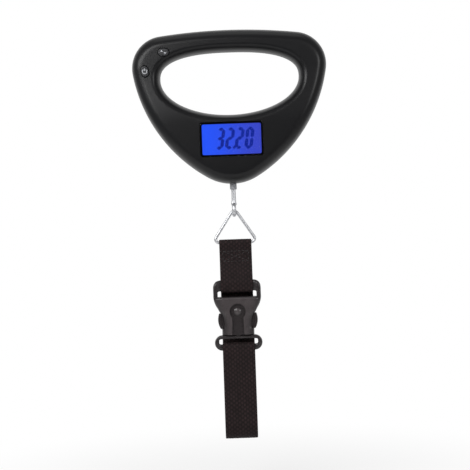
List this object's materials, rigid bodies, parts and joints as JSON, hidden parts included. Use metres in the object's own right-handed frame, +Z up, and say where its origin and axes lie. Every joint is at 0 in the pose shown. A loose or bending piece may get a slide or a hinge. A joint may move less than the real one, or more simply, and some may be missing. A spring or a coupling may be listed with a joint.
{
  "type": "digital luggage scale",
  "caption": "Hand-held scale: rounded housing with a hand opening and a lit display, an eye rod, a wire triangle and a buckled webbing loop that hangs luggage from it.",
  "frame": {"origin": "middle of the grip bar, where the hand holds the scale", "axes": "+Z up along the hanging rod, +X to the right of a person who reads the display, -Y out of the display"},
  "size_m": [0.1438, 0.0286, 0.304],
  "materials": {
    "housing_plastic": "satin moulded ABS",
    "display_window": "clear hard-coated acrylic",
    "display_glass": "backlit liquid-crystal glass",
    "light_guide": "clear moulded light guide",
    "silicone": "moulded silicone",
    "board_laminate": "glass-fibre laminate",
    "epoxy": "moulded",
    "button_rubber": "moulded",
    "cell_aluminium": "milled",
    "gauge_foil": "foil on film",
    "zinc_steel": "zinc plated",
    "bush_plastic": "moulded acetal",
    "cell_can": "nickel plated",
    "contact_brass": "stamped strip",
    "lead_insulation": "extruded",
    "bright_steel": "bright plated wire",
    "webbing": "woven polyester webbing",
    "buckle_plastic": "satin moulded acetal"
  },
  "bodies": {
    "housing": {"front_shell": "housing_plastic", "rear_shell": "housing_plastic", "display_lens": "display_window", "lcd_panel": "display_glass", "backlight": "light_guide", "zebra_strips": "silicone", "circuit_board": "board_laminate", "button_board": "board_laminate", "controller_chip": "epoxy", "tact_switches": "epoxy", "load_cell": "cell_aluminium", "strain_gauges": "gauge_foil", "anchor_plate": "zinc_steel", "anchor_bolt": "zinc_steel", "rod_bush": "bush_plastic", "coin_cell": "cell_can", "positive_contact": "contact_brass", "negative_contact": "contact_brass", "housing_screws": "zinc_steel", "gauge_leads": "lead_insulation", "button_leads": "lead_insulation", "battery_leads": "lead_insulation"},
    "power_button": {"power_button": "button_rubber"},
    "unit_button": {"unit_button": "button_rubber"},
    "battery_lid": {"battery_lid": "housing_plastic"},
    "pull_rod": {"pull_rod": "bright_steel", "rod_nut": "zinc_steel"},
    "triangle_ring": {"triangle_ring": "bright_steel"},
    "strap": {"strap_upper": "webbing", "buckle_socket": "buckle_plastic"},
    "plug": {"buckle_plug": "buckle_plastic", "strap_lower": "webbing"},
    "latch_left": {"latch_arm_left": "buckle_plastic"},
    "latch_right": {"latch_arm_right": "buckle_plastic"}
  },
  "joints": [
    {"name": "power_press", "type": "slide", "parent": "housing", "child": "power_button", "axis": [0, 1, 0], "range_m": [0, 0.0005], "stiffness_N_per_m": 2500},
    {"name": "unit_press", "type": "slide", "parent": "housing", "child": "unit_button", "axis": [0, 1, 0], "range_m": [0, 0.0005], "stiffness_N_per_m": 2500},
    {"name": "lid_turn", "type": "hinge", "parent": "housing", "child": "battery_lid", "pos_m": [0, 0.0115, -0.076], "axis": [0, 1, 0], "range_deg": [0, 45]},
    {"name": "rod_swivel", "type": "hinge", "parent": "housing", "child": "pull_rod", "pos_m": [0, 0, -0.1], "axis": [0, 0, 1], "continuous": true},
    {"name": "ring_swing", "type": "hinge", "parent": "pull_rod", "child": "triangle_ring", "pos_m": [0, 0, -0.1248], "axis": [1, 0, 0], "range_deg": [-60, 60]},
    {"name": "strap_swing", "type": "hinge", "parent": "triangle_ring", "child": "strap", "pos_m": [0, 0, -0.1492], "axis": [1, 0, 0], "range_deg": [-60, 60]},
    {"name": "plug_slide", "type": "slide", "parent": "strap", "child": "plug", "axis": [0, 0, -1], "range_m": [0, 0.022], "deforming": ["latch_arm_left", "latch_arm_right"]},
    {"name": "latch_right_press", "type": "hinge", "parent": "plug", "child": "latch_right", "pos_m": [0.00805, -0.0035, -0.2164], "axis": [0, -1, 0], "range_deg": [0, 14], "stiffness_Nm_per_rad": 0.4},
    {"name": "latch_left_press", "type": "hinge", "parent": "plug", "child": "latch_left", "pos_m": [-0.00805, -0.0035, -0.2164], "axis": [0, 1, 0], "range_deg": [0, 14], "stiffness_Nm_per_rad": 0.4}
  ],
  "couplings": [
    {"joint": "latch_left_press", "follows": "latch_right_press", "ratio": 1}
  ]
}
